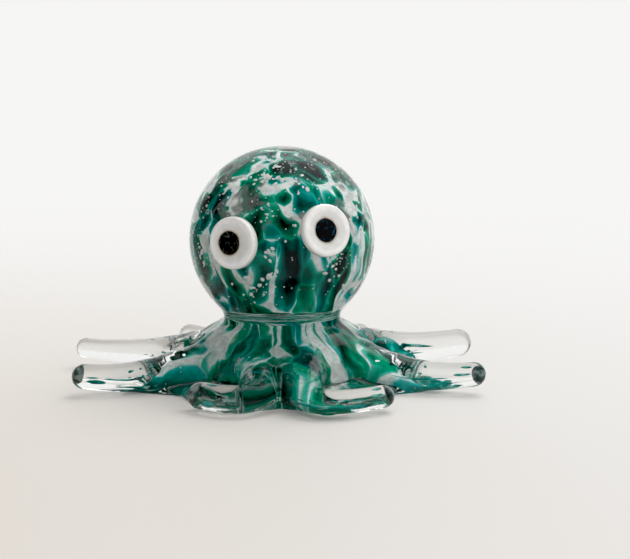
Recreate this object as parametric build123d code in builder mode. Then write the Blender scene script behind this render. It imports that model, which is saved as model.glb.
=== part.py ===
from build123d import *

import os
from dataclasses import dataclass
from math import acos, cos, degrees, radians, sin, sqrt

# Lampworked glass octopus figurine. The head is a ball of green and white frit glass cased in clear glass.
# The body is a second coloured gather under a clear skin, flared into a skirt. Eight clear tentacles are
# drawn out of the skirt, each with a trail of the body's colour pulled into it. The eyes are white glass
# dots with black glass dots seated in them.
# Frame: millimetres, +Z up, the origin on the resting face under the head's axis, the eyes towards -Y.
# Left and right are as seen from in front of the eyes.

# Head
head_diameter = 33.6
head_casing_thickness = 5.8
head_core_neck_diameter = 13.6
head_core_neck_blend = 2.0

# Neck, where the head is fused to the body: its length above the joint and the step below it
neck_diameter = 20.9
neck_length = 0.85
neck_step = 1.5
neck_blend = 0.8

# Body: the wall leans out from the shoulder to a low waist, and the foot spreads thinly from there
body_height = 12.2
shoulder_diameter = 26.4
shoulder_drop = 2.4
shoulder_blend = 3.2
skirt_lean = 5.3
skirt_waist_height = 2.7
skirt_waist_blend = 3.0
foot_spread = 7.5
foot_edge_height = 0.9
foot_edge_blend = 0.6
body_skin = 2.0
body_core_lift = 0.8
body_core_blend = 1.2

# Tentacles: from the root, buried in the body, to the rounded tip
tentacle_reach = 38.0
tentacle_root_radius = 9.0
tentacle_root_width = 12.6
tentacle_root_clearance = 0.2
tentacle_knee_level = 2.0
tentacle_tip_level = 3.6
tentacle_tip_girth = 5.0
tip_swell_share = 1.03
depth_taper_share = 1.45
section_shares = (0.0, 0.3, 0.65, 1.0)

# Colour trails inside the tentacles: how far they lie under the middle, and the shares they fill at each end
trail_drop = 0.8
trail_root_share = 0.64
trail_end_share = 0.24

# Eyes
eye_diameter = 9.2
eye_rim_rise = 0.55
eye_dish_depth = 0.2
eye_rim_blend = 0.5
eye_seat_depth = 0.26
pupil_diameter = 4.1
pupil_pocket_depth = 0.3
pupil_rise = 0.3
pupil_edge_bevel = 0.2


@dataclass
class Tentacle:
    """One tentacle: where it leaves the body, the knee that bends it and its tip, by heading and distance.

    Headings are in degrees from the front, positive to the right."""

    name: str
    root_heading: float
    knee_heading: float
    knee_share: float  # of tentacle_reach, the knee's distance from the axis
    tip_heading: float
    tip_share: float  # of tentacle_reach, the tip's distance from the axis
    knee_level_share: float  # of tentacle_knee_level
    tip_level_share: float  # of tentacle_tip_level
    girth_share: float  # of tentacle_tip_girth
    taper: float  # power of the narrowing from root to tip; the depth thins by depth_taper_share as much again
    trail_share: float  # of the tentacle's length that carries colour


tentacles = (
    Tentacle("front_left", -33.0, 1.0, 1.00, -31.8, 0.77, 1.10, 0.76, 1.06, 1.9, 0.56),
    Tentacle("left_front", -68.0, -67.0, 0.62, -69.4, 1.035, 0.80, 0.96, 1.00, 1.1, 0.66),
    Tentacle("left_back", -112.0, -113.0, 0.62, -110.0, 1.10, 1.35, 1.03, 0.86, 1.1, 0.60),
    Tentacle("back_left", -156.0, -158.0, 0.62, -146.0, 0.95, 1.00, 1.00, 1.00, 1.1, 0.64),
    Tentacle("back_right", 157.0, 159.0, 0.62, 151.0, 0.93, 1.00, 0.95, 1.00, 1.1, 0.66),
    Tentacle("right_back", 113.0, 114.0, 0.62, 111.5, 1.02, 1.60, 1.28, 1.18, 1.1, 0.58),
    Tentacle("right_front", 67.0, 65.0, 0.62, 68.6, 1.01, 0.80, 1.02, 0.98, 1.1, 0.68),
    Tentacle("front_right", 32.0, -3.0, 1.10, 35.3, 0.84, 1.10, 0.74, 0.88, 1.9, 0.66),
)


@dataclass
class Eye:
    """One eye: where the ray from the head's centre through its middle points, and how far its pupil is off it."""

    name: str
    heading: float  # from the front, positive to the right
    elevation: float  # above the horizon
    pupil_shift_share: float  # of eye_diameter, positive to the right


eyes = (Eye("left", -30.5, 3.0, -0.055), Eye("right", 27.5, 10.5, -0.025))

head_radius = head_diameter / 2
neck_radius = neck_diameter / 2
neck_meet = body_height + neck_length
equator_height = neck_meet + sqrt(head_radius**2 - neck_radius**2)
head_centre = Vector(0, 0, equator_height)
neck_crease_height = body_height - neck_step
shoulder_radius = shoulder_diameter / 2
shoulder_height = neck_crease_height - shoulder_drop
waist_radius = shoulder_radius + skirt_lean
tentacle_root_depth = neck_crease_height - tentacle_root_clearance * 2
tentacle_root_level = neck_crease_height / 2


def make_head_form():
    """The head's whole outer form, from the crown down to the neck joint."""
    neck_angle = degrees(acos(neck_radius / head_radius))
    with BuildPart() as head_form:
        with BuildSketch(Plane.XZ) as half:
            with BuildLine():
                CenterArc((0, equator_height), head_radius, -neck_angle, neck_angle + 90)
                Polyline(
                    (neck_radius, neck_meet),
                    (neck_radius, body_height),
                    (0, body_height),
                    (0, equator_height + head_radius),
                )
            make_face()
            fillet(half.vertices().sort_by_distance((neck_radius, neck_meet))[0], neck_blend)
        revolve(axis=Axis.Z)
    return head_form.part


def make_head_core():
    """The coloured ball and the stem of colour that runs down through the neck."""
    core_radius = head_radius - head_casing_thickness
    stem_radius = head_core_neck_diameter / 2
    stem_angle = degrees(acos(stem_radius / core_radius))
    stem_top = equator_height - sqrt(core_radius**2 - stem_radius**2)
    with BuildPart() as head_core:
        with BuildSketch(Plane.XZ) as half:
            with BuildLine():
                CenterArc((0, equator_height), core_radius, -stem_angle, stem_angle + 90)
                Polyline(
                    (stem_radius, stem_top),
                    (stem_radius, body_height),
                    (0, body_height),
                    (0, equator_height + core_radius),
                )
            make_face()
            fillet(half.vertices().sort_by_distance((stem_radius, stem_top))[0], head_core_neck_blend)
        revolve(axis=Axis.Z)
    return head_core.part


def make_body_form():
    """The body's whole outer form: flat base, spread foot, wall, sloping shoulder and lower half of the neck."""
    foot_radius = waist_radius + foot_spread
    with BuildPart() as body_form:
        with BuildSketch(Plane.XZ) as half:
            with BuildLine():
                Polyline(
                    (0, 0),
                    (foot_radius, 0),
                    (foot_radius, foot_edge_height),
                    (waist_radius, skirt_waist_height),
                    (shoulder_radius, shoulder_height),
                    (neck_radius, neck_crease_height),
                    (neck_radius, body_height),
                    (0, body_height),
                    close=True,
                )
            make_face()
            fillet(half.vertices().sort_by_distance((foot_radius, foot_edge_height))[0], foot_edge_blend)
            fillet(half.vertices().sort_by_distance((waist_radius, skirt_waist_height))[0], skirt_waist_blend)
            fillet(half.vertices().sort_by_distance((shoulder_radius, shoulder_height))[0], shoulder_blend)
        revolve(axis=Axis.Z)
    return body_form.part


def make_body_core():
    """The body's coloured gather, under a clear skin and clear of the base."""
    core_waist = waist_radius - body_skin
    core_shoulder = shoulder_radius - body_skin
    stem_radius = head_core_neck_diameter / 2
    with BuildPart() as body_core:
        with BuildSketch(Plane.XZ) as half:
            with BuildLine():
                Polyline(
                    (0, body_core_lift),
                    (core_waist, body_core_lift),
                    (core_shoulder, shoulder_height - body_skin / 2),
                    (stem_radius, neck_crease_height - body_skin / 2),
                    (stem_radius, body_height),
                    (0, body_height),
                    close=True,
                )
            make_face()
            fillet(half.vertices().group_by(Axis.X)[-1], body_core_blend)
        revolve(axis=Axis.Z)
    return body_core.part


def level_direction(heading):
    """The level direction at a heading from the front, in degrees."""
    return Vector(sin(radians(heading)), -cos(radians(heading)), 0)


def tentacle_spine(plan):
    """The tentacle's centre line: out of the body, round its knee and on to the middle of its round tip."""
    root = level_direction(plan.root_heading) * tentacle_root_radius
    knee = level_direction(plan.knee_heading) * (tentacle_reach * plan.knee_share)
    tip = level_direction(plan.tip_heading) * (tentacle_reach * plan.tip_share)
    tip_middle = tip + (knee - tip).normalized() * (tentacle_tip_girth * plan.girth_share / 2)
    with BuildLine():
        spine = Bezier(
            root + Vector(0, 0, tentacle_root_level),
            knee + Vector(0, 0, tentacle_knee_level * plan.knee_level_share),
            tip_middle + Vector(0, 0, tentacle_tip_level * plan.tip_level_share),
        )
    return spine


def tentacle_size(plan, share):
    """The tentacle's width and depth at a share of its length."""
    left = 1 - share
    tip_girth = tentacle_tip_girth * plan.girth_share
    width = tip_girth + (tentacle_root_width - tip_girth) * left**plan.taper
    depth = tip_girth + (tentacle_root_depth - tip_girth) * left ** (plan.taper * depth_taper_share)
    return width, depth


def oval_section(spine, share, width, depth):
    """An oval square to the spine at a share of its length, its width level."""
    along = spine.tangent_at(share)
    square = Plane(origin=spine.position_at(share), x_dir=along.cross(Vector(0, 0, 1)), z_dir=along)
    with BuildSketch(square) as section:
        Ellipse(width / 2, depth / 2)
    return section.sketch


def drawn_form(spine, sizes, tip_radius):
    """A rope of glass drawn along the spine through ovals of the given sizes, with a round tip."""
    sections = [oval_section(spine, share, *size) for share, size in zip(section_shares, sizes)]
    with BuildPart() as form:
        sweep(sections=sections, path=spine, multisection=True)
        with Locations(Plane(origin=spine.position_at(1), z_dir=spine.tangent_at(1))):
            Sphere(tip_radius)
    return form.part


def make_tentacle_form(plan):
    """The tentacle's whole outer form, from inside the body to its rounded tip, flat where it would sink."""
    sizes = [tentacle_size(plan, share) for share in section_shares]
    form = drawn_form(tentacle_spine(plan), sizes, sizes[-1][0] / 2 * tip_swell_share)
    return split(form, bisect_by=Plane.XY, keep=Keep.TOP)


def make_trail_form(plan):
    """The colour drawn into the tentacle, from inside the body's core to a narrow end."""
    spine = tentacle_spine(plan).trim(0, plan.trail_share).moved(Location((0, 0, -trail_drop)))
    sizes = []
    for share in section_shares:
        fill = trail_root_share + (trail_end_share - trail_root_share) * share
        width, depth = tentacle_size(plan, share * plan.trail_share)
        sizes.append((width * fill, depth * fill))
    return drawn_form(spine, sizes, sizes[-1][0] / 2 * tip_swell_share)


def eye_axis(eye):
    """The line from the head's centre through the middle of the eye."""
    rise = Vector(0, 0, sin(radians(eye.elevation)))
    return Axis(head_centre, level_direction(eye.heading) * cos(radians(eye.elevation)) + rise)


def eye_profile_plane(eye):
    """A plane through the eye's axis, its Y axis along it and its X axis level."""
    axis = eye_axis(eye)
    side = level_direction(eye.heading + 90)
    return Plane(origin=head_centre, x_dir=side, z_dir=side.cross(axis.direction))


def make_eye_white(eye):
    """A pressed dot of white glass with a shallow dish."""
    eye_radius = eye_diameter / 2
    pupil_radius = pupil_diameter / 2
    seat = sqrt(head_radius**2 - eye_radius**2) - eye_seat_depth
    rim = head_radius + eye_rim_rise
    dish = rim - eye_dish_depth
    with BuildPart() as eye_white:
        with BuildSketch(eye_profile_plane(eye)) as half:
            with BuildLine():
                Polyline(
                    (0, seat),
                    (eye_radius, seat),
                    (eye_radius, rim),
                    (eye_radius - eye_rim_blend * 2, rim),
                    (pupil_radius, dish),
                    (0, dish),
                    close=True,
                )
            make_face()
            fillet(half.vertices().sort_by_distance((eye_radius, rim))[0], eye_rim_blend)
        revolve(axis=eye_axis(eye))
    return eye_white.part


def make_pupil(eye):
    """A bevelled dot of black glass, sunk into the white a little off its middle."""
    shift = level_direction(eye.heading + 90) * (eye_diameter * eye.pupil_shift_share)
    pupil_radius = pupil_diameter / 2
    dish = head_radius + eye_rim_rise - eye_dish_depth
    top = dish + pupil_rise
    with BuildPart() as pupil:
        with BuildSketch(eye_profile_plane(eye)):
            with BuildLine():
                Polyline(
                    (0, dish - pupil_pocket_depth),
                    (pupil_radius, dish - pupil_pocket_depth),
                    (pupil_radius, top - pupil_edge_bevel),
                    (pupil_radius - pupil_edge_bevel, top),
                    (0, top),
                    close=True,
                )
            make_face()
        revolve(axis=eye_axis(eye))
    return pupil.part.moved(Location(shift))


def cut_from(whole, *tools):
    """The whole with the pieces that seat in it cut away, so that they meet face to face."""
    with BuildPart() as piece:
        add(whole)
        for tool in tools:
            add(tool, mode=Mode.SUBTRACT)
    return piece.part


def keep(piece, name):
    """Labels a finished piece and writes it to its own file."""
    piece.label = name
    export_step(piece, os.path.join("parts", f"{name}.step"))


os.makedirs("parts", exist_ok=True)

head_form = make_head_form()
head_core = make_head_core()
body_form = make_body_form()
body_core = make_body_core()
pupils = {eye.name: make_pupil(eye) for eye in eyes}
eye_whites = {eye.name: cut_from(make_eye_white(eye), pupils[eye.name]) for eye in eyes}
trail_forms = {plan.name: make_trail_form(plan) for plan in tentacles}

keep(head_core, "head_core")
keep(cut_from(head_form, head_core, *eye_whites.values(), *pupils.values()), "head_casing")
keep(body_core, "body_core")
keep(cut_from(body_form, body_core, *trail_forms.values()), "body_casing")

earlier_forms = []
for plan in tentacles:
    keep(cut_from(trail_forms[plan.name], body_core), f"colour_trail_{plan.name}")
    tentacle_form = make_tentacle_form(plan)
    tentacle = cut_from(tentacle_form, body_form, *trail_forms.values(), *earlier_forms)
    keep(tentacle, f"tentacle_{plan.name}")
    earlier_forms.append(tentacle_form)

for eye in eyes:
    keep(eye_whites[eye.name], f"eye_white_{eye.name}")
    keep(pupils[eye.name], f"pupil_{eye.name}")
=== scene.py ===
import math
from collections import namedtuple

import bmesh
import bpy
import numpy as np
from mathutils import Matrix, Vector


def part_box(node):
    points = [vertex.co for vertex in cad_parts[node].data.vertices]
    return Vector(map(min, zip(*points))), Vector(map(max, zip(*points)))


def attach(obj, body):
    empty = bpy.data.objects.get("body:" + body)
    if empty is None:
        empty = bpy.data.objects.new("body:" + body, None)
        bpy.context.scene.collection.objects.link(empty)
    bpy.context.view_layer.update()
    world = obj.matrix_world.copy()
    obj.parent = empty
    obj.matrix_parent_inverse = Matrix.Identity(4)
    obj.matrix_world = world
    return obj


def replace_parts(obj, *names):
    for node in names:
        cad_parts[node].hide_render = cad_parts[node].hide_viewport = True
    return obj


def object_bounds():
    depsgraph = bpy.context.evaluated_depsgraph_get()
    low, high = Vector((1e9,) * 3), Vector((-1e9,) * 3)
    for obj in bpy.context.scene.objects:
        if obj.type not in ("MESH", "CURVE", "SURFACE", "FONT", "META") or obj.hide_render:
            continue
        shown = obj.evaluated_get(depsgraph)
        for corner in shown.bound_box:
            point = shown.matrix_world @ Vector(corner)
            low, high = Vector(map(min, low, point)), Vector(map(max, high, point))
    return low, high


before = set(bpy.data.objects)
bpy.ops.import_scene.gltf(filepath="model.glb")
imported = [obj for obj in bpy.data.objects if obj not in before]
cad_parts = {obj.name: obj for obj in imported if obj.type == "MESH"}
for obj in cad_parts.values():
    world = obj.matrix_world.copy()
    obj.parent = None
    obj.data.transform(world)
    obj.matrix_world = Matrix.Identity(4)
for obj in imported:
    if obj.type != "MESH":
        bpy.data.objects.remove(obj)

import openvdb
from mathutils import Matrix, Vector

cad_box = [list(corner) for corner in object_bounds()]
MM = 0.001

# Sizes of the solids, in millimetres, so that the glass lies where they do.
head_low, head_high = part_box("head_casing")
HEAD_RADIUS = (head_high.x - head_low.x) / 2 / MM
HEAD_TOP = head_high.z / MM
HEAD_MIDDLE = HEAD_TOP - HEAD_RADIUS
CORE_SHARE = 0.655
NECK_RADIUS = 10.45
NECK_LOW, NECK_HIGH = 10.0, 14.2
SHOULDER_RADIUS, SHOULDER_HEIGHT = 13.2, 8.3
WAIST_RADIUS, WAIST_HEIGHT = 18.5, 2.7
FOOT_RADIUS, FOOT_EDGE = 26.0, 0.9
CREASE_HEIGHT, BODY_HEIGHT = 10.7, 12.2
REACH = 38.0
ROOT_RADIUS, ROOT_LEVEL = 9.0, 5.35
ROOT_WIDTH, ROOT_DEPTH = 12.6, 10.3
KNEE_LEVEL, TIP_LEVEL = 2.0, 3.6
# TIP_SLIM makes the tips a tenth slimmer than the solids' own.
TIP_GIRTH, DEPTH_TAPER, TIP_SLIM = 5.0, 1.45, 0.9
TRAIL_DROP = 0.8
EYE_RADIUS, EYE_RIM, EYE_DISH, EYE_SEAT = 4.6, 0.55, 0.2, 0.9
PUPIL_RADIUS, PUPIL_RISE, PUPIL_POCKET = 2.05, 0.3, 0.3

# The grid that the glass is worked out on: its step, the distance that stands for empty and the points on a spine.
GRID_STEP, FAR, SPINE_COUNT = 0.4, 50.0, 60
# Room round the CAD's box for the clear glass, and how far inside that box the colour's grid stops.
SKIN_ROOM, COLOUR_ROOM = 1.2, 0.5
# The skin's outline runs below the floor, where it is cut off last.
BELOW_FLOOR = -3.0
# Turned outlines: the step and the end of their radii, and how softly their corners are rounded.
RADIUS_STEP, WIDEST, OUTLINE_SOFTNESS = 0.2, 62.0, 0.7
# Fillets where forms of clear glass join, then those of the colour.
TENTACLE_FILLET, RIDGE_FILLET, NECK_FILLET, HEAD_FILLET = 2.6, 2.2, 0.9, 1.3
TRAIL_FILLET, STEM_FILLET, BALL_FILLET = 1.6, 2.5, 3.0
RIDGE_GIRTH, RIDGE_COUNT = 3.6, 24
# Hand-made waves: how many are summed, their length, and their height on the clear glass and on the colour.
WAVE_COUNT, WAVE_LENGTH, SKIN_WAVE, COLOUR_WAVE = 14, 4.5, 0.28, 0.45
# The stem of colour through the neck, and the underside of the body's gather.
STEM_RADIUS, STEM_MIDDLE, STEM_HALF = 7.6, 14.0, 5.0
GATHER_FLOOR = 0.8
# The least depth of a trail, and the share of its lost depth by which it sinks.
TRAIL_THINNEST, TRAIL_SINK = 1.4, 0.40
# For each tentacle: threads, specks, specks in a tip that has painted dark refraction, and the points along each of
# them.
THREADS, SPECKS, TIP_SPECKS, THREAD_POINTS = 4, 36, 2, 9
LOOSE_BUBBLES, CLUSTERS, CLUSTER_BUBBLES = 240, 16, 16

# Headings in degrees from the front, positive to the right, and shares of the sizes above.
Plan = namedtuple("Plan", "name root knee knee_reach tip tip_reach knee_level tip_level girth taper")
TENTACLES = (
    Plan("front_left", -33.0, 1.0, 1.00, -31.8, 0.77, 1.10, 0.76, 1.06, 1.9),
    Plan("left_front", -68.0, -67.0, 0.62, -69.4, 1.035, 0.80, 0.96, 1.00, 1.1),
    Plan("left_back", -112.0, -113.0, 0.62, -110.0, 1.10, 1.35, 1.03, 0.86, 1.1),
    Plan("back_left", -156.0, -158.0, 0.62, -146.0, 0.95, 1.00, 1.00, 1.00, 1.1),
    Plan("back_right", 157.0, 159.0, 0.62, 151.0, 0.93, 1.00, 0.95, 1.00, 1.1),
    Plan("right_back", 113.0, 114.0, 0.62, 111.5, 1.02, 1.60, 1.28, 1.18, 1.1),
    Plan("right_front", 67.0, 65.0, 0.62, 68.6, 1.01, 0.80, 1.02, 0.98, 1.1),
    Plan("front_right", 32.0, -3.0, 1.10, 35.3, 0.84, 1.10, 0.74, 0.88, 1.9),
)
# Each eye: heading, elevation, the pupil's shift as a share of the eye's diameter, and the flecks in its black.
EYES = (
    ("left", -30.5, 3.0, -0.055, (0.07, 0.075, 0.07)),
    ("right", 27.5, 10.5, -0.025, (0.01, 0.09, 0.15)),
)
# The floor, in metres: its size, its level just under the glass, and how far it shows to the side and to the back.
FLOOR_RADIUS, FLOOR_LEVEL = 0.9, -0.00002
FLOOR_FADE = (0.28, 0.21, 1.0)
# The floor's colour to the left and to the right: the left is painted shade, darker and warmer, for the shadow and
# warm light at the object's left.
FLOOR_LEFT_PAINTED_SHADE, FLOOR_RIGHT = (0.60, 0.553, 0.502, 1), (0.685, 0.677, 0.67, 1)
# The light's directions, how strong the lamp is seen in the glass and on matt surfaces, the fill and the backdrop.
BACK_AIM, LAMP_AIM, FILL_AIM = (0.1, 1.0, 0.2), (0.35, 0.35, 0.87), (0.45, -0.9, 0.40)
LAMP_SEEN, LAMP_MATT, FILL, BACKDROP = 1.2, 3.6, 0.80, 0.925
# The camera, in metres, its lens and sensor in millimetres, and the picture's black level.
CAMERA_AT, CAMERA_AIM = (0.0, -0.300, 0.060), (0.006, 0.0, 0.0187)
LENS, SENSOR = 95.0, 36.0
BLACK_LEVEL = (0.008, 0.008, 0.008)
# How far the foot's edge is drawn in between tentacles, and how wide each tentacle holds it out, in degrees.
SCALLOP_SHARE, SCALLOP_TURN = 0.45, 18.0
# Points taken on each spine for that, and how many of them, from the root, count.
SCALLOP_POINTS, SCALLOP_HELD = 9, 6
# The line under the ridge that starts each tentacle at the neck: radius and height.
RIDGE_LINE = ((8.2, 10.4), (11.5, 8.3), (14.0, 5.6), (16.5, 2.9))
# Tentacles whose tips hold a dark blob, painted for the dark surroundings that the tip refracts.
PAINTED_DARK_TIPS = ("front_left", "left_front", "right_front", "front_right")
# The colour in each tentacle: its share of the section at the root and of the length, and how much of its width and
# depth it has lost at its end. At the sides and the back it thins to a ribbon that lies low in the glass.
TrailLook = namedtuple("TrailLook", "full length width_cut depth_cut")
TRAIL_LOOKS = {
    "front_left": TrailLook(0.44, 0.32, 0.60, 0.60),
    "left_front": TrailLook(0.66, 0.76, 0.62, 0.70),
    "left_back": TrailLook(0.54, 0.58, 0.62, 0.70),
    "back_left": TrailLook(0.66, 0.72, 0.62, 0.70),
    "back_right": TrailLook(0.66, 0.74, 0.62, 0.70),
    "right_back": TrailLook(0.66, 0.62, 0.62, 0.66),
    "right_front": TrailLook(0.68, 0.78, 0.62, 0.70),
    "front_right": TrailLook(0.79, 0.86, 0.60, 0.52),
}
# Where the head's and the skirt's patterns are cut from, so that their dark and pale places suit the photograph.
HEAD_PATTERN = (9.0, -55.0, 40.0)
SKIRT_PATTERN = (-90.0, 14.0, -9.0)
# The chips' cells per millimetre, and the height below which they are drawn out towards the neck.
CHIP_SCALE, DRAWN_BELOW = 0.27, 27.0
# Groups of flakes in the head: heading, elevation and how many.
FLAKES = (
    (-28, 52, 12),
    (-12, 58, 10),
    (-55, 40, 8),
    (20, 48, 6),
    (-8, -22, 7),
    (-20, -28, 6),
    (-14, -8, 5),
    (40, -12, 5),
    (70, 20, 6),
    (-70, -5, 6),
    (130, 35, 9),
    (-140, 20, 9),
    (175, -10, 7),
)


def level(heading):
    """The level direction at a heading from the front, in degrees, positive to the right."""
    turn = math.radians(heading)
    return np.array([math.sin(turn), -math.cos(turn), 0.0])


def outward(heading, elevation):
    """The direction at a heading from the front and an elevation, in degrees."""
    out = level(heading) * math.cos(math.radians(elevation))
    out[2] = math.sin(math.radians(elevation))
    return out


def spine_points(plan, count):
    """Points along a tentacle's centre line, with how far along it each one is."""
    root = level(plan.root) * ROOT_RADIUS
    knee = level(plan.knee) * REACH * plan.knee_reach
    tip = level(plan.tip) * REACH * plan.tip_reach
    back = (knee - tip) / np.linalg.norm(knee - tip)
    tip = tip + back * (TIP_GIRTH * plan.girth * TIP_SLIM / 2)
    root[2], knee[2], tip[2] = ROOT_LEVEL, KNEE_LEVEL * plan.knee_level, TIP_LEVEL * plan.tip_level
    t = np.linspace(0, 1, count)[:, None]
    points = (1 - t) ** 2 * root + 2 * t * (1 - t) * knee + t**2 * tip
    run = np.concatenate([[0], np.cumsum(np.linalg.norm(np.diff(points, axis=0), axis=1))])
    return points, run / run[-1]


class Field:
    """A block of space sampled on a regular grid, in millimetres, that holds signed distances."""

    def __init__(self, low, high, step):
        self.low, self.step = np.array(low, float), step
        self.axes = [np.arange(a, b + step, step, dtype=np.float32) for a, b in zip(low, high)]
        self.X, self.Y, self.Z = np.meshgrid(*self.axes, indexing="ij")
        self.R = np.sqrt(self.X**2 + self.Y**2)
        self.d = np.full(self.X.shape, FAR, np.float32)

    def join(self, other, blend, window=None):
        """Adds another form with a rounded fillet about as wide as blend."""
        here = self.d if window is None else self.d[window]
        h = np.clip(0.5 + 0.5 * (other - here) / blend, 0, 1)
        made = other + (here - other) * h - blend * h * (1 - h)
        if window is None:
            self.d = made
        else:
            self.d[window] = made

    def window(self, low, high):
        """The part of the grid between two corners."""
        found = []
        for axis, a, b in zip(self.axes, low, high):
            found.append(slice(int(np.searchsorted(axis, a)), int(np.searchsorted(axis, b))))
        return tuple(found)

    def rope(self, points, widths, depths, blend):
        """Joins a rope of oval section that follows the points."""
        margin = 6.0
        reach = max(widths.max(), depths.max()) / 2 + margin
        w = self.window(points.min(0) - reach, points.max(0) + reach)
        X, Y, Z = self.X[w], self.Y[w], self.Z[w]
        best = np.full(X.shape, FAR, np.float32)
        for p, width, depth in zip(points, widths / 2, depths / 2):
            across = (X - p[0]) ** 2 + (Y - p[1]) ** 2
            up = (Z - p[2]) ** 2
            scaled = np.sqrt(across / width**2 + up / depth**2)
            plain = np.sqrt(across + up)
            near = plain * (1 - 1 / np.maximum(scaled, 1e-3))
            inside = (scaled - 1) * min(width, depth)
            np.minimum(best, np.where(scaled > 1, near, inside), out=best)
        self.join(best, blend, w)

    def mesh(self, name):
        """The surface where the distance is zero, as a smooth mesh in metres."""
        grid = openvdb.FloatGrid(FAR)
        grid.copyFromArray(np.ascontiguousarray(self.d))
        points, triangles, quads = grid.convertToPolygons(isovalue=0.0, adaptivity=0.0)
        points = (points * self.step + self.low) * MM
        made = bpy.data.meshes.new(name)
        faces = [list(map(int, f)) for f in triangles] + [list(map(int, f)) for f in quads]
        made.from_pydata([tuple(map(float, p)) for p in points], [], faces)
        made.validate()
        bm = bmesh.new()
        bm.from_mesh(made)
        bmesh.ops.recalc_face_normals(bm, faces=bm.faces)
        for _ in range(2):
            bmesh.ops.smooth_vert(bm, verts=bm.verts, factor=0.5, use_axis_x=True, use_axis_y=True, use_axis_z=True)
        bm.to_mesh(made)
        bm.free()
        for polygon in made.polygons:
            polygon.use_smooth = True
        obj = bpy.data.objects.new(name, made)
        bpy.context.scene.collection.objects.link(obj)
        return obj


def tentacle_sizes(plan, along):
    """The tentacle's width and depth at shares of its length."""
    girth = TIP_GIRTH * plan.girth * TIP_SLIM
    width = girth + (ROOT_WIDTH - girth) * (1 - along) ** plan.taper
    depth = girth + (ROOT_DEPTH - girth) * (1 - along) ** (plan.taper * DEPTH_TAPER)
    return width, depth


def scalloped(field):
    """The grid's radii, drawn out between the tentacles so that the foot's edge is drawn in there."""
    R, heading = field.R[:, :, 0], np.degrees(np.arctan2(field.X[:, :, 0], -field.Y[:, :, 0]))
    held = np.zeros_like(R)
    for plan in TENTACLES:
        points, _ = spine_points(plan, SCALLOP_POINTS)
        for point in points[:SCALLOP_HELD]:
            turn = math.degrees(math.atan2(point[0], -point[1]))
            gap = (heading - turn + 180) % 360 - 180
            held = np.maximum(held, np.exp(-((gap / SCALLOP_TURN) ** 2)))
    beyond = np.maximum(R - SHOULDER_RADIUS, 0)
    return R + beyond * SCALLOP_SHARE * (1 - held)


def turned(field, corners, soften, around=None):
    """Signed distance to a form turned from its (radius, height) outline, with its corners softened."""
    radii = np.arange(0, WIDEST, RADIUS_STEP)
    heights = field.axes[2].astype(float)
    R, Z = np.meshgrid(radii, heights, indexing="ij")
    near = np.full(R.shape, 1e9)
    sign = np.ones(R.shape)
    for here, there in zip(corners, corners[-1:] + corners[:-1]):
        edge_r, edge_z = there[0] - here[0], there[1] - here[1]
        from_r, from_z = R - here[0], Z - here[1]
        t = np.clip((from_r * edge_r + from_z * edge_z) / (edge_r**2 + edge_z**2), 0, 1)
        near = np.minimum(near, (from_r - edge_r * t) ** 2 + (from_z - edge_z * t) ** 2)
        above, below = Z >= here[1], Z < there[1]
        left = edge_r * from_z > edge_z * from_r
        sign = np.where((above & below & left) | ~(above | below | left), -sign, sign)
    flat = sign * np.sqrt(near)
    for axis, step in ((0, RADIUS_STEP), (1, field.step)):
        reach = int(3 * soften / step)
        weights = np.exp(-0.5 * (np.arange(-reach, reach + 1) * step / soften) ** 2)
        weights /= weights.sum()
        wide = np.pad(flat, [(reach, reach) if a == axis else (0, 0) for a in (0, 1)], mode="edge")
        flat = np.apply_along_axis(np.convolve, axis, wide, weights, mode="valid")
    around = field.R[:, :, 0] if around is None else around
    layers = [np.interp(around.ravel(), radii, flat[:, k]).reshape(around.shape) for k in range(len(heights))]
    return np.stack(layers, axis=2).astype(np.float32)


def make_skin():
    """All the clear glass as the one fused body that it is: head, neck, skirt and tentacles."""
    low = [c / MM - SKIN_ROOM for c in cad_box[0]]
    high = [c / MM + SKIN_ROOM for c in cad_box[1]]
    field = Field(low, high, GRID_STEP)
    X, Y, Z, R = field.X, field.Y, field.Z, field.R
    outline = [
        (0.0, BELOW_FLOOR),
        (FOOT_RADIUS, BELOW_FLOOR),
        (FOOT_RADIUS, FOOT_EDGE),
        (WAIST_RADIUS, WAIST_HEIGHT),
        (SHOULDER_RADIUS, SHOULDER_HEIGHT),
        (NECK_RADIUS, CREASE_HEIGHT),
        (NECK_RADIUS, BODY_HEIGHT),
        (0.0, BODY_HEIGHT),
    ]
    field.d = turned(field, outline, OUTLINE_SOFTNESS, scalloped(field))
    for plan in TENTACLES:
        points, along = spine_points(plan, SPINE_COUNT)
        widths, depths = tentacle_sizes(plan, along)
        field.rope(points, widths, depths, TENTACLE_FILLET)
        ridge_radii = np.linspace(NECK_RADIUS - 2.2, WAIST_RADIUS - 2.5, RIDGE_COUNT)
        ridge = level(plan.root) * ridge_radii[:, None]
        ridge[:, 2] = np.interp(np.hypot(ridge[:, 0], ridge[:, 1]), *zip(*RIDGE_LINE))
        girths = np.full(RIDGE_COUNT, RIDGE_GIRTH)
        field.rope(ridge, girths, girths, RIDGE_FILLET)
    # Hand-drawn waves over the skirt, which fade out at the neck and the foot's edge.
    waves = np.clip((Z - 1.5) / 2, 0, 1) * np.clip((CREASE_HEIGHT - Z) / 2, 0, 1) * np.clip((24 - R) / 4, 0, 1)
    field.d = field.d + SKIN_WAVE * waves * wobble(field, WAVE_LENGTH, 17)
    neck = np.maximum(R - NECK_RADIUS, np.abs(Z - (NECK_LOW + NECK_HIGH) / 2) - (NECK_HIGH - NECK_LOW) / 2)
    field.join(neck, NECK_FILLET)
    head = np.sqrt(X**2 + Y**2 + (Z - HEAD_MIDDLE) ** 2) - HEAD_RADIUS
    field.join(head, HEAD_FILLET)
    field.d = np.maximum(field.d, -Z)
    return field.mesh("clear_glass_body")


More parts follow.
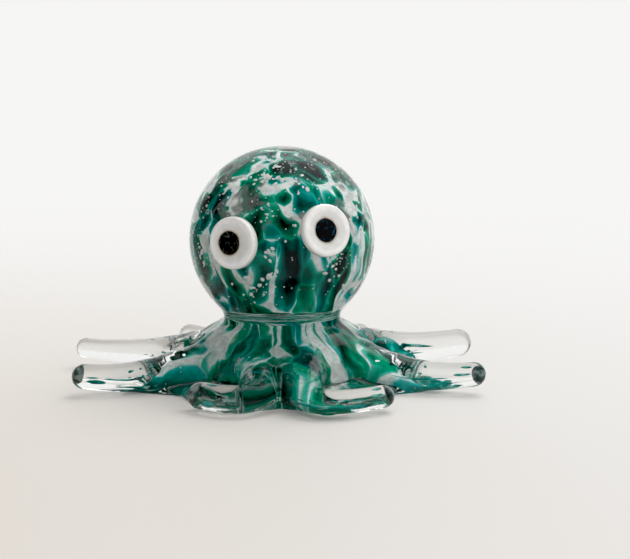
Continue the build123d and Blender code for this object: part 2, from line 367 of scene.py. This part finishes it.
def wobble(field, size, seed):
    """Smooth random waves through the grid, about minus one to one."""
    rng = np.random.default_rng(seed)
    total = np.zeros_like(field.X)
    for _ in range(WAVE_COUNT):
        wave = rng.normal(size=3) * 2 * math.pi / size / 1.7
        total += np.sin(field.X * wave[0] + field.Y * wave[1] + field.Z * wave[2] + rng.uniform(0, 6.3))
    return total / math.sqrt(WAVE_COUNT) * 0.8


def make_colour():
    """The frit colour inside the clear glass: the ball, the stem, the body's gather and the trails."""
    low = [c / MM + COLOUR_ROOM for c in cad_box[0]]
    high = [c / MM - COLOUR_ROOM for c in cad_box[1]]
    field = Field(low, high, GRID_STEP)
    X, Y, Z, R = field.X, field.Y, field.Z, field.R
    outline = [
        (0.0, GATHER_FLOOR),
        (WAIST_RADIUS - 2.0, GATHER_FLOOR),
        (SHOULDER_RADIUS - 2.2, SHOULDER_HEIGHT - 1.0),
        (NECK_RADIUS - 2.2, CREASE_HEIGHT - 0.9),
        (NECK_RADIUS - 2.6, BODY_HEIGHT + 1.0),
        (0.0, BODY_HEIGHT + 1.0),
    ]
    field.d = turned(field, outline, OUTLINE_SOFTNESS)
    for plan in TENTACLES:
        points, along = spine_points(plan, SPINE_COUNT)
        widths, depths = tentacle_sizes(plan, along)
        look = TRAIL_LOOKS[plan.name]
        keep = along <= look.length
        run = along[keep] / look.length
        wide = widths[keep] * look.full * (1 - look.width_cut * run**2)
        deep = depths[keep] * look.full * (1 - look.depth_cut * run**1.5)
        deep = np.maximum(deep, TRAIL_THINNEST)
        line = points[keep] - [0, 0, TRAIL_DROP]
        line[:, 2] -= (depths[keep] * look.full - deep) * TRAIL_SINK
        field.rope(line, wide, deep, TRAIL_FILLET)
    stem = np.maximum(R - STEM_RADIUS, np.abs(Z - STEM_MIDDLE) - STEM_HALF)
    field.join(stem, STEM_FILLET)
    ball = np.sqrt(X**2 + Y**2 + (Z - HEAD_MIDDLE) ** 2) - HEAD_RADIUS * CORE_SHARE
    field.join(ball, BALL_FILLET)
    field.d = field.d + COLOUR_WAVE * wobble(field, WAVE_LENGTH, 3)
    return field.mesh("frit_colour")


def strand(bm, points, radii, sides=8):
    """A thin thread of glass along the points, drawn to a point at both ends."""
    rings = []
    for i, (point, radius) in enumerate(zip(points, radii)):
        if i in (0, len(points) - 1):
            rings.append([bm.verts.new(Vector(point) * MM)])
            continue
        along = Vector(points[i + 1] - points[i - 1]).normalized()
        side = along.cross(Vector((0, 0, 1))).normalized()
        up = side.cross(along)
        ring = []
        for k in range(sides):
            a = 2 * math.pi * k / sides
            ring.append(bm.verts.new((Vector(point) + (side * math.cos(a) + up * math.sin(a)) * radius) * MM))
        rings.append(ring)
    for low, high in zip(rings, rings[1:]):
        for k in range(sides):
            j = (k + 1) % sides
            corners = [low[k % len(low)], low[j % len(low)], high[j % len(high)], high[k % len(high)]]
            bm.faces.new(list(dict.fromkeys(corners)))


def make_threads():
    """Threads and specks of colour that run on from each trail towards the tentacle's tip, low in the glass."""
    rng = np.random.default_rng(5)
    bm = bmesh.new()
    for plan in TENTACLES:
        points, along = spine_points(plan, SPINE_COUNT)
        widths, depths = tentacle_sizes(plan, along)
        heading = np.gradient(points, axis=0)
        side = np.cross(heading, [0, 0, 1.0])
        side /= np.linalg.norm(side, axis=1)[:, None]

        def run_on(start, end, across, up, girth):
            shares = np.linspace(start, end, THREAD_POINTS)
            line = np.stack([np.interp(shares, along, points[:, k]) for k in range(3)], axis=1)
            beside = np.stack([np.interp(shares, along, side[:, k]) for k in range(3)], axis=1)
            line += beside * (across * np.interp(shares, along, widths))[:, None]
            line[:, 2] += up * np.interp(shares, along, depths)
            line[:, 2] = np.maximum(line[:, 2], girth + 0.2)
            swell = np.sin(np.pi * np.linspace(0, 1, THREAD_POINTS)) ** 0.6
            strand(bm, line, girth * swell + 0.01)

        bend = np.linspace(0, 1, THREAD_POINTS)
        length = TRAIL_LOOKS[plan.name].length
        for _ in range(THREADS):
            start = length * rng.uniform(0.55, 0.9)
            end = min(length + rng.uniform(0.06, 0.2), 0.93)
            across = rng.uniform(-0.33, 0.33) + 0.06 * np.sin(bend * rng.uniform(3, 6) + rng.uniform(0, 6))
            run_on(start, end, across, rng.uniform(-0.36, 0.0), rng.uniform(0.06, 0.18))
        for _ in range(SPECKS):
            start = length * (0.70 + 0.38 * rng.uniform() ** 2)
            end = start + rng.uniform(0.01, 0.04)
            run_on(start, end, rng.uniform(-0.36, 0.36), rng.uniform(-0.36, 0.02), rng.uniform(0.03, 0.09))
        if plan.name in PAINTED_DARK_TIPS:
            for _ in range(TIP_SPECKS):
                start = rng.uniform(0.86, 0.93)
                across, up = rng.uniform(-0.2, 0.2), rng.uniform(-0.2, 0.2)
                run_on(start, 0.99, across, up, rng.uniform(0.08, 0.2))
    bmesh.ops.recalc_face_normals(bm, faces=bm.faces)
    return object_from(bm, "colour_threads")


def make_painted_dark_tips():
    """A dark blob held in the end of each of the tentacles that stand forward, painted for the dark surroundings that
    the tip refracts.
    """
    rng = np.random.default_rng(31)
    bm = bmesh.new()
    for plan in TENTACLES:
        if plan.name not in PAINTED_DARK_TIPS:
            continue
        points, _ = spine_points(plan, SPINE_COUNT)
        out = (points[-1] - points[-4]) / np.linalg.norm(points[-1] - points[-4])
        girth = TIP_GIRTH * plan.girth * TIP_SLIM / 2
        turn = Vector(out).to_track_quat("Z", "Y").to_matrix().to_4x4()
        shape = Matrix.Diagonal((0.60 * girth * MM, 0.52 * girth * MM, 0.42 * girth * MM, 1))
        place = Matrix.Translation(Vector(points[-1] + out * 0.42 * girth) * MM)
        made = bmesh.ops.create_icosphere(bm, subdivisions=3, radius=1.0)
        lean = rng.normal(size=(3, 3)) * 1.6
        for vert in made["verts"]:
            vert.co *= 1 + 0.13 * sum(math.sin(Vector(wave).dot(vert.co)) for wave in lean)
        bmesh.ops.transform(bm, matrix=place @ turn @ shape, verts=made["verts"])
    return object_from(bm, "painted_dark_tips")


def object_from(bm, name, smooth=True):
    """An object made from a bmesh, which is used up."""
    made = bpy.data.meshes.new(name)
    bm.to_mesh(made)
    bm.free()
    if smooth:
        for polygon in made.polygons:
            polygon.use_smooth = True
    obj = bpy.data.objects.new(name, made)
    bpy.context.scene.collection.objects.link(obj)
    return obj


class Tree:
    """A short way to lay out shader nodes."""

    def __init__(self, tree):
        self.tree = tree

    def add(self, kind, inputs=None, **settings):
        node = self.tree.nodes.new(kind)
        for key, value in settings.items():
            setattr(node, key, value)
        for key, value in (inputs or {}).items():
            self.put(node, key, value)
        return node

    def put(self, node, key, value):
        socket = node.inputs[key]
        if isinstance(value, bpy.types.NodeSocket):
            self.tree.links.new(value, socket)
        else:
            socket.default_value = value

    def math(self, operation, a, b=0.0, c=0.0):
        node = self.add("ShaderNodeMath", {0: a, 1: b, 2: c}, operation=operation)
        return node.outputs[0]

    def ramp(self, value, stops, interpolation="LINEAR"):
        node = self.add("ShaderNodeValToRGB", {0: value})
        ramp = node.color_ramp
        ramp.interpolation = interpolation
        while len(ramp.elements) < len(stops):
            ramp.elements.new(0.5)
        for element, (place, colour) in zip(ramp.elements, stops):
            element.position = place
            element.color = (*colour, 1.0) if len(colour) == 3 else colour
        return node.outputs[0]

    def blend(self, share, a, b, mode="MIX"):
        node = self.add("ShaderNodeMix", data_type="RGBA", blend_type=mode)
        self.put(node, 0, share)
        self.put(node, 6, a)
        self.put(node, 7, b)
        return node.outputs[2]

    def spread(self, value, low, high, to_low=0.0, to_high=1.0, smooth=True):
        kind = "SMOOTHSTEP" if smooth else "LINEAR"
        node = self.add(
            "ShaderNodeMapRange", {0: value, 1: low, 2: high, 3: to_low, 4: to_high}, interpolation_type=kind
        )
        return node.outputs[0]


class Nodes(Tree):
    """The nodes of a new material."""

    def __init__(self, name):
        self.material = bpy.data.materials.new(name)
        self.material.use_nodes = True
        super().__init__(self.material.node_tree)
        self.shader = self.tree.nodes["Principled BSDF"]
        self.output = self.tree.nodes["Material Output"]


def clear_glass_material():
    """Clear glass with a faint ripple and softened reflections."""
    n = Nodes("clear_glass")
    s = n.shader.inputs
    s["Base Color"].default_value = (0.985, 0.995, 0.99, 1)
    s["Roughness"].default_value = 0.0
    s["IOR"].default_value = 1.5
    s["Transmission Weight"].default_value = 1.0
    s["Specular Tint"].default_value = (0.45, 0.45, 0.45, 1)
    place = n.add("ShaderNodeTexCoord").outputs["Object"]
    ripple = n.add("ShaderNodeTexNoise", {"Vector": place, "Scale": 160.0, "Detail": 1.0})
    bump = n.add("ShaderNodeBump", {"Height": ripple.outputs[0], "Strength": 0.08, "Distance": 0.0006})
    n.put(n.shader, "Normal", bump.outputs[0])
    return n.material


def frit_material():
    """Emerald and turquoise chips in white: cells in the head, drawn out down the neck and along the skirt."""
    n = Nodes("frit_colour")
    place = n.add("ShaderNodeTexCoord").outputs["Object"]
    mm = n.add("ShaderNodeVectorMath", {0: place, 3: 1000.0}, operation="SCALE").outputs[0]
    parts = n.add("ShaderNodeSeparateXYZ", {0: mm})
    x, y, z = parts.outputs
    radius = n.math("SQRT", n.math("ADD", n.math("MULTIPLY", x, x), n.math("MULTIPLY", y, y)))
    safe = n.math("MAXIMUM", radius, 0.5)
    # Head: cells about as tall as wide at the crown, drawn out towards the neck.
    upper = n.math("MULTIPLY", n.math("MAXIMUM", z, DRAWN_BELOW), 0.9)
    lower = n.math("SUBTRACT", n.math("MINIMUM", z, DRAWN_BELOW), DRAWN_BELOW)
    lower = n.math("MULTIPLY", lower, 0.34)
    head = n.add("ShaderNodeCombineXYZ", {0: x, 1: y, 2: n.math("ADD", upper, lower)}).outputs[0]
    head = n.add("ShaderNodeVectorMath", {0: head, 1: HEAD_PATTERN}, operation="ADD").outputs[0]
    # Skirt: the pattern turns with the heading and changes slowly along each tentacle.
    turn_x = n.math("MULTIPLY", n.math("DIVIDE", x, safe), 15.0)
    turn_y = n.math("MULTIPLY", n.math("DIVIDE", y, safe), 15.0)
    outward = n.math("MULTIPLY", n.math("ADD", radius, n.math("MULTIPLY", z, -0.8)), 0.30)
    skirt = n.add("ShaderNodeCombineXYZ", {0: turn_x, 1: turn_y, 2: outward}).outputs[0]
    skirt = n.add("ShaderNodeVectorMath", {0: skirt, 1: SKIRT_PATTERN}, operation="ADD").outputs[0]
    in_head = n.spread(z, 11.5, 15.5)
    mixed = n.add("ShaderNodeMix", data_type="VECTOR")
    n.put(mixed, 0, in_head)
    n.put(mixed, 4, skirt)
    n.put(mixed, 5, head)
    where = mixed.outputs[1]
    warp = n.add("ShaderNodeTexNoise", {"Vector": where, "Scale": 0.20, "Detail": 1.2, "Roughness": 0.4})
    moved = n.add("ShaderNodeVectorMath", {0: warp.outputs["Color"], 1: (0.5, 0.5, 0.5)}, operation="SUBTRACT")
    moved = n.add("ShaderNodeVectorMath", {0: moved.outputs[0], 3: 6.0}, operation="SCALE")
    bent = n.add("ShaderNodeVectorMath", {0: where, 1: moved.outputs[0]}, operation="ADD").outputs[0]
    # Each chip is dark in its middle and pales through emerald and turquoise towards white at its edge.
    chips = {"Vector": bent, "Scale": CHIP_SCALE, "Randomness": 1.0}
    cells = n.add("ShaderNodeTexVoronoi", chips)
    edges = n.add("ShaderNodeTexVoronoi", chips, feature="DISTANCE_TO_EDGE")
    pick = n.add("ShaderNodeSeparateColor", {0: cells.outputs["Color"]})
    open_ground = n.add("ShaderNodeTexNoise", {"Vector": where, "Scale": 0.17, "Detail": 1.0}).outputs[0]
    shift = n.spread(open_ground, 0.36, 0.68, 0.17, -0.13)
    shift = n.math("ADD", shift, n.spread(in_head, 0.0, 1.0, 0.04, 0.0))
    gain = n.spread(pick.outputs[0], 0.0, 1.0, 0.7, 1.95, False)
    gain = n.math("MULTIPLY", gain, n.spread(in_head, 0.0, 1.0, 0.54, 1.0))
    depth = n.math("MULTIPLY", n.math("ADD", edges.outputs["Distance"], shift), gain)
    green = n.ramp(
        depth,
        [
            (0.0, (0.92, 0.96, 0.94)),
            (0.045, (0.74, 0.90, 0.86)),
            (0.085, (0.06, 0.54, 0.42)),
            (0.15, (0.000, 0.35, 0.190)),
            (0.31, (0.000, 0.135, 0.080)),
            (0.52, (0.000, 0.014, 0.012)),
        ],
        "EASE",
    )
    teal = n.ramp(
        depth,
        [
            (0.0, (0.92, 0.96, 0.95)),
            (0.045, (0.68, 0.89, 0.87)),
            (0.09, (0.03, 0.50, 0.47)),
            (0.17, (0.000, 0.28, 0.235)),
            (0.34, (0.000, 0.092, 0.078)),
            (0.55, (0.000, 0.010, 0.012)),
        ],
        "EASE",
    )
    colour = n.blend(n.spread(pick.outputs[1], 0.35, 0.75), green, teal)
    # Grey windows high on the head, with little colour in them: clear places in the frit, painted grey as shade for
    # the dim depth seen through them.
    window_noise = n.add("ShaderNodeTexNoise", {"Vector": bent, "Scale": 0.20, "Detail": 3.0, "Roughness": 0.6}).outputs[0]
    window_shade_share = n.math("MULTIPLY", n.spread(window_noise, 0.55, 0.62), n.spread(z, 24.0, 31.0))
    colour = n.blend(n.math("MULTIPLY", window_shade_share, 0.8), colour, (0.20, 0.225, 0.215, 1))
    # Fine white seeds.
    seeds = n.add("ShaderNodeTexVoronoi", {"Vector": mm, "Scale": 1.5, "Randomness": 1.0})
    seed_pick = n.add("ShaderNodeSeparateColor", {0: seeds.outputs["Color"]}).outputs[0]
    seed_size = n.spread(seed_pick, 0.72, 1.0, 0.0, 0.22, False)
    seed_share = n.math("LESS_THAN", seeds.outputs["Distance"], seed_size)
    colour = n.blend(n.math("MULTIPLY", seed_share, 0.8), colour, (0.88, 0.92, 0.90, 1))
    shade = n.add("ShaderNodeTexNoise", {"Vector": mm, "Scale": 0.9, "Detail": 4.0, "Roughness": 0.6}).outputs[0]
    colour = n.blend(1.0, colour, n.spread(shade, 0.3, 0.7, 0.8, 1.15), "MULTIPLY")
    n.put(n.shader, "Base Color", colour)
    n.shader.inputs["Roughness"].default_value = 0.6
    n.shader.inputs["Specular IOR Level"].default_value = 0.0
    bump = n.add("ShaderNodeBump", {"Height": shade, "Strength": 0.3, "Distance": 0.0004})
    n.put(n.shader, "Normal", bump.outputs[0])
    return n.material


def thread_material():
    """Green to pale turquoise, changing along each thread."""
    n = Nodes("colour_threads")
    place = n.add("ShaderNodeTexCoord").outputs["Object"]
    cloud = n.add("ShaderNodeTexNoise", {"Vector": place, "Scale": 260.0, "Detail": 2.0})
    colour = n.ramp(
        cloud.outputs[0], [(0.36, (0.002, 0.12, 0.10)), (0.5, (0.01, 0.40, 0.35)), (0.64, (0.45, 0.78, 0.72))]
    )
    n.put(n.shader, "Base Color", colour)
    n.shader.inputs["Roughness"].default_value = 0.6
    n.shader.inputs["Specular IOR Level"].default_value = 0.0
    return n.material


def painted_dark_tip_material():
    """Dark grey-green with paler clouds, painted for the dark surroundings that the tips refract."""
    n = Nodes("painted_dark_tips")
    place = n.add("ShaderNodeTexCoord").outputs["Object"]
    cloud = n.add("ShaderNodeTexNoise", {"Vector": place, "Scale": 700.0, "Detail": 3.0, "Roughness": 0.6})
    colour = n.ramp(
        cloud.outputs[0], [(0.36, (0.015, 0.035, 0.031)), (0.50, (0.07, 0.12, 0.11)), (0.62, (0.34, 0.40, 0.38))]
    )
    n.put(n.shader, "Base Color", colour)
    n.shader.inputs["Roughness"].default_value = 0.5
    n.shader.inputs["Specular IOR Level"].default_value = 0.0
    return n.material


def from_axis(n, place, frame_at):
    """How far each point is from the line out through an eye or pupil, in millimetres."""
    middle = frame_at.to_translation()
    out = (frame_at.to_3x3() @ Vector((0, 0, 1))).normalized()
    away = n.add("ShaderNodeVectorMath", {0: place, 1: middle}, operation="SUBTRACT").outputs[0]
    cross = n.add("ShaderNodeVectorMath", {0: away, 1: out}, operation="CROSS_PRODUCT").outputs[0]
    return n.math("MULTIPLY", n.add("ShaderNodeVectorMath", {0: cross}, operation="LENGTH").outputs["Value"], 1000.0)


def white_material(name, eye_at, pupil_at):
    """Pressed white glass: bright at the rim from a painted highlight, a little duller in the dish from painted shade,
    and stained round the pupil.
    """
    n = Nodes(f"white_glass_{name}")
    place = n.add("ShaderNodeTexCoord").outputs["Object"]
    cloud = n.add("ShaderNodeTexNoise", {"Vector": place, "Scale": 700.0, "Detail": 4.0}).outputs[0]
    ragged = n.math("MULTIPLY", n.math("SUBTRACT", cloud, 0.5), 0.35)
    # Painted shade and highlight: duller in the dish towards the pupil, brightest at the rim.
    ring = n.ramp(
        n.math("DIVIDE", n.math("ADD", from_axis(n, place, eye_at), ragged), EYE_RADIUS),
        [(0.5, (0.74, 0.73, 0.71)), (0.72, (0.80, 0.80, 0.79)), (0.82, (0.92, 0.92, 0.91)), (1.0, (0.86, 0.85, 0.82))],
    )
    stain = n.ramp(
        n.math("DIVIDE", n.math("ADD", from_axis(n, place, pupil_at), ragged), EYE_RADIUS),
        [(0.44, (0.20, 0.13, 0.08)), (0.48, (0.80, 0.75, 0.68)), (0.55, (1.0, 1.0, 1.0))],
    )
    colour = n.blend(1.0, ring, stain, "MULTIPLY")
    colour = n.blend(1.0, colour, n.spread(cloud, 0.3, 0.7, 0.94, 1.03), "MULTIPLY")
    n.put(n.shader, "Base Color", colour)
    n.shader.inputs["Roughness"].default_value = 0.12
    n.shader.inputs["Coat Weight"].default_value = 0.3
    ripple = n.add("ShaderNodeTexNoise", {"Vector": place, "Scale": 350.0, "Detail": 1.0})
    bump = n.add("ShaderNodeBump", {"Height": ripple.outputs[0], "Strength": 0.12, "Distance": 0.0005})
    n.put(n.shader, "Normal", bump.outputs[0])
    return n.material


def black_material(name, fleck):
    """Black glass with a few irregular flecks of another colour in it."""
    n = Nodes(f"black_glass_{name}")
    place = n.add("ShaderNodeTexCoord").outputs["Object"]
    grain = {"Vector": place, "Scale": 950.0, "Detail": 3.0, "Roughness": 0.7, "Distortion": 1.2}
    cloud = n.add("ShaderNodeTexNoise", grain)
    colour = n.blend(n.spread(cloud.outputs[0], 0.55, 0.70), (0.006, 0.006, 0.007, 1), (*fleck, 1))
    n.put(n.shader, "Base Color", colour)
    n.shader.inputs["Roughness"].default_value = 0.08
    n.shader.inputs["Specular IOR Level"].default_value = 0.08
    bump = n.add("ShaderNodeBump", {"Height": cloud.outputs[0], "Strength": 0.2, "Distance": 0.0003})
    n.put(n.shader, "Normal", bump.outputs[0])
    return n.material


def bubble_material():
    """Near white, for the bubbles and the flakes: the flakes' own white glass, and on the bubbles a painted highlight
    for the glint of air.
    """
    n = Nodes("trapped_bubbles")
    place = n.add("ShaderNodeTexCoord").outputs["Object"]
    cloud = n.add("ShaderNodeTexNoise", {"Vector": place, "Scale": 900.0, "Detail": 2.0})
    colour = n.ramp(cloud.outputs[0], [(0.3, (0.88, 0.92, 0.90)), (0.7, (0.98, 0.99, 0.98))])
    n.put(n.shader, "Base Color", colour)
    n.shader.inputs["Roughness"].default_value = 0.25
    return n.material


def eye_frame(heading, elevation):
    """Turns an upright lathe form so that its axis runs out through the eye."""
    turn = Vector(outward(heading, elevation)).to_track_quat("Z", "Y").to_matrix().to_4x4()
    return Matrix.Translation(Vector((0, 0, HEAD_MIDDLE * MM))) @ turn


def lathe(name, profile, matrix, segments=96):
    """A turned form from (radius, height) pairs in millimetres, closed on its axis."""
    bm = bmesh.new()
    rings = []
    for radius, height in profile:
        if radius == 0:
            rings.append([bm.verts.new((0, 0, height * MM))])
            continue
        ring = []
        for i in range(segments):
            a = 2 * math.pi * i / segments
            ring.append(bm.verts.new((radius * MM * math.cos(a), radius * MM * math.sin(a), height * MM)))
        rings.append(ring)
    for low, high in zip(rings, rings[1:]):
        for i in range(segments):
            j = (i + 1) % segments
            corners = [low[i % len(low)], low[j % len(low)], high[j % len(high)], high[i % len(high)]]
            bm.faces.new(list(dict.fromkeys(corners)))
    bmesh.ops.recalc_face_normals(bm, faces=bm.faces)
    bmesh.ops.transform(bm, matrix=matrix, verts=bm.verts)
    return object_from(bm, name)


def rounded(points, steps=6):
    """A profile with each inner corner cut by a short curve; corners are (radius, height, blend)."""
    made = []
    for i, (r, h, blend) in enumerate(points):
        if blend == 0:
            made.append((r, h))
            continue
        here = np.array([r, h])
        before = np.array(points[i - 1][:2]) - here
        after = np.array(points[i + 1][:2]) - here
        a = here + before / np.linalg.norm(before) * min(blend, np.linalg.norm(before) * 0.49)
        b = here + after / np.linalg.norm(after) * min(blend, np.linalg.norm(after) * 0.49)
        for t in np.linspace(0, 1, steps):
            p = (1 - t) ** 2 * a + 2 * t * (1 - t) * here + t**2 * b
            made.append((float(p[0]), float(p[1])))
    return made


def make_eyes():
    """The white dots with a raised rim, and the black dots seated in them."""
    for name, heading, elevation, pupil_shift, fleck in EYES:
        place = eye_frame(heading, elevation)
        side = Matrix.Translation(Vector(level(heading + 90)) * (pupil_shift * EYE_RADIUS * 2 * MM))
        white = white_material(name, place, side @ place)
        rim = HEAD_RADIUS + EYE_RIM
        dish = rim - EYE_DISH
        profile = rounded(
            [
                (0, HEAD_RADIUS - EYE_SEAT, 0),
                (EYE_RADIUS, HEAD_RADIUS - EYE_SEAT, 0.15),
                (EYE_RADIUS, rim, 0.6),
                (EYE_RADIUS - 1.1, rim, 0.5),
                (PUPIL_RADIUS, dish, 0.15),
                (0, dish, 0),
            ]
        )
        eye = lathe(f"eye_white_{name}_dot", profile, place)
        eye.data.materials.append(white)
        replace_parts(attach(eye, "root"), f"eye_white_{name}")
        top = dish + PUPIL_RISE
        profile = rounded(
            [
                (0, dish - PUPIL_POCKET, 0),
                (PUPIL_RADIUS, dish - PUPIL_POCKET, 0.05),
                (PUPIL_RADIUS, top - 0.05, 0.3),
                (PUPIL_RADIUS - 0.7, top, 0.5),
                (0, top, 0),
            ]
        )
        pupil = lathe(f"pupil_{name}_dot", profile, side @ place)
        pupil.data.materials.append(black_material(name, fleck))
        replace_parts(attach(pupil, "root"), f"pupil_{name}")


def make_bubbles():
    """Small bubbles trapped between the colour and the outside: loose ones all round, and clusters."""
    rng = np.random.default_rng(11)
    spots = []
    for _ in range(LOOSE_BUBBLES):
        out = rng.normal(size=3)
        spots.append((out / np.linalg.norm(out), 1.0))
    for _ in range(CLUSTERS):
        out = rng.normal(size=3) + np.array([-0.3, -0.5, 0.5])
        out /= np.linalg.norm(out)
        for _ in range(CLUSTER_BUBBLES):
            near = out + rng.normal(size=3) * 0.10
            spots.append((near / np.linalg.norm(near), 0.75))
    bm = bmesh.new()
    for out, scale in spots:
        depth = HEAD_RADIUS * (CORE_SHARE + 0.05 + (0.93 - CORE_SHARE) * rng.uniform() ** 1.3)
        size = (0.09 + 0.24 * rng.uniform() ** 3) * scale
        if out[2] < -0.7:
            continue
        middle = out * depth + np.array([0, 0, HEAD_MIDDLE])
        stretch = Matrix.Diagonal((size, size, size * rng.uniform(0.9, 1.3), 1))
        matrix = Matrix.Translation(Vector(middle) * MM) @ Matrix.Scale(MM, 4) @ stretch
        bmesh.ops.create_icosphere(bm, subdivisions=2, radius=1.0, matrix=matrix)
    obj = object_from(bm, "trapped_bubbles")
    # The bubbles are drawn as white spheres: painted highlights for the glint that air bubbles catch in glass.
    obj.data.materials.append(bubble_material())
    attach(obj, "root")


def make_flakes():
    """Silvery white flakes of glass in the clear casing, in loose groups."""
    rng = np.random.default_rng(23)
    bm = bmesh.new()
    for heading, elevation, count in FLAKES:
        middle = outward(heading, elevation)
        for _ in range(count):
            out = middle + rng.normal(size=3) * 0.09
            out /= np.linalg.norm(out)
            depth = HEAD_RADIUS * (CORE_SHARE + 0.03 + 0.12 * rng.uniform())
            size = rng.uniform(0.22, 0.52)
            turn = Vector(out).to_track_quat("Z", "Y").to_matrix().to_4x4()
            spin = Matrix.Rotation(rng.uniform(0, 6.3), 4, "Z")
            shape = Matrix.Diagonal((size * MM, size * rng.uniform(0.5, 1.0) * MM, 0.30 * size * MM, 1))
            place = Matrix.Translation(Vector(out * depth + np.array([0, 0, HEAD_MIDDLE])) * MM)
            made = bmesh.ops.create_icosphere(bm, subdivisions=2, radius=1.0)
            for vert in made["verts"]:
                vert.co *= rng.uniform(0.75, 1.2)
            bmesh.ops.transform(bm, matrix=place @ turn @ spin @ shape, verts=made["verts"])
    obj = object_from(bm, "white_flakes", smooth=False)
    obj.data.materials.append(bubble_material())
    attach(obj, "root")


def make_stage():
    """A pale floor, with painted shade that makes it darker and warmer to the left, that fades into the background,
    soft light all round and a brighter sky behind.
    """
    bm = bmesh.new()
    bmesh.ops.create_circle(bm, cap_ends=True, segments=96, radius=FLOOR_RADIUS)
    floor = object_from(bm, "floor", smooth=False)
    floor.location.z = FLOOR_LEVEL
    n = Nodes("floor")
    place = n.add("ShaderNodeTexCoord").outputs["Object"]
    parts = n.add("ShaderNodeSeparateXYZ", {0: place})
    # Painted shade: the floor darkens and warms towards the left.
    side = n.spread(parts.outputs[0], -0.12, 0.12)
    colour = n.blend(side, FLOOR_LEFT_PAINTED_SHADE, FLOOR_RIGHT)
    n.put(n.shader, "Base Color", colour)
    n.shader.inputs["Roughness"].default_value = 0.6
    n.shader.inputs["Specular IOR Level"].default_value = 0.2
    moved = n.add("ShaderNodeVectorMath", {0: place, 1: (0.0, 0.10, 0.0)}, operation="ADD").outputs[0]
    scaled = n.add("ShaderNodeVectorMath", {0: moved, 1: FLOOR_FADE}, operation="DIVIDE").outputs[0]
    away = n.add("ShaderNodeVectorMath", {0: scaled}, operation="LENGTH").outputs["Value"]
    near = n.math("MULTIPLY", n.math("POWER", away, 2.0), -1.0)
    fade = n.math("SUBTRACT", 1.0, n.math("EXPONENT", near))
    clear = n.add("ShaderNodeBsdfTransparent")
    mixed = n.add("ShaderNodeMixShader", {0: fade, 1: n.shader.outputs[0], 2: clear.outputs[0]})
    n.tree.links.new(mixed.outputs[0], n.output.inputs[0])
    floor.data.materials.append(n.material)

    world = bpy.data.worlds.new("studio")
    bpy.context.scene.world = world
    world.use_nodes = True
    w = Tree(world.node_tree)
    background = w.tree.nodes["Background"]
    direction = w.add("ShaderNodeTexCoord").outputs["Generated"]

    def lobe(aim, low, high, to_low, to_high):
        dot = w.add("ShaderNodeVectorMath", {0: direction, 1: Vector(aim).normalized()}, operation="DOT_PRODUCT")
        return w.spread(dot.outputs["Value"], low, high, to_low, to_high)

    light = lobe(BACK_AIM, 0.58, 0.86, 0.12, 0.92)
    path = w.add("ShaderNodeLightPath")
    # One where the light falls on a matt surface, nought where the glass shows it straight to the eye.
    scattered = w.math("GREATER_THAN", path.outputs["Diffuse Depth"], 0.5)
    matt = w.math("MAXIMUM", scattered, w.math("SUBTRACT", 1.0, path.outputs["Is Singular Ray"]))
    # The lamp overhead is strong on matt surfaces and plain white where the glass shows it.
    lamp = lobe(LAMP_AIM, 0.84, 0.95, 0.0, 1.0)
    lamp = w.math("MULTIPLY", lamp, w.spread(matt, 0.0, 1.0, LAMP_SEEN, LAMP_MATT))
    light = w.math("ADD", light, lamp)
    # A wide fill from the front that lights matt surfaces and leaves no veil of its own in the glass.
    fill = lobe(FILL_AIM, -0.1, 0.8, 0.0, FILL)
    light = w.math("ADD", light, w.math("MULTIPLY", matt, fill))
    # The camera itself sees an even backdrop.
    backdrop = w.math("MULTIPLY", path.outputs["Is Camera Ray"], w.math("SUBTRACT", BACKDROP, light))
    w.put(background, "Strength", w.math("ADD", backdrop, light))
    w.put(background, "Color", (1.0, 0.995, 0.985, 1))


def make_camera():
    """The photograph's view: from the front and a little above."""
    data = bpy.data.cameras.new("camera")
    data.sensor_width = SENSOR
    data.lens = LENS
    data.clip_start = 0.01
    camera = bpy.data.objects.new("camera", data)
    bpy.context.scene.collection.objects.link(camera)
    camera.location = CAMERA_AT
    aim = Vector(CAMERA_AIM) - camera.location
    camera.rotation_mode = "QUATERNION"
    camera.rotation_quaternion = aim.to_track_quat("-Z", "Y")
    bpy.context.scene.camera = camera


scene = bpy.context.scene
scene.view_settings.view_transform = "Standard"
scene.view_settings.use_curve_mapping = True
scene.view_settings.curve_mapping.black_level = BLACK_LEVEL
scene.view_settings.curve_mapping.update()
scene.cycles.use_denoising = True
scene.cycles.max_bounces = 28
scene.cycles.transmission_bounces = 24
scene.cycles.transparent_max_bounces = 12

skin = make_skin()
skin.data.materials.append(clear_glass_material())
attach(skin, "root")
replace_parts(skin, "head_casing", "body_casing", *[f"tentacle_{plan.name}" for plan in TENTACLES])

colour = make_colour()
colour.data.materials.append(frit_material())
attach(colour, "root")
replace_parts(colour, "head_core", "body_core", *[f"colour_trail_{plan.name}" for plan in TENTACLES])

threads = make_threads()
threads.data.materials.append(thread_material())
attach(threads, "root")

# Painted dark refraction in the forward tips.
dark_tip_blobs = make_painted_dark_tips()
dark_tip_blobs.data.materials.append(painted_dark_tip_material())
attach(dark_tip_blobs, "root")

make_eyes()
make_bubbles()
make_flakes()
make_stage()
make_camera()
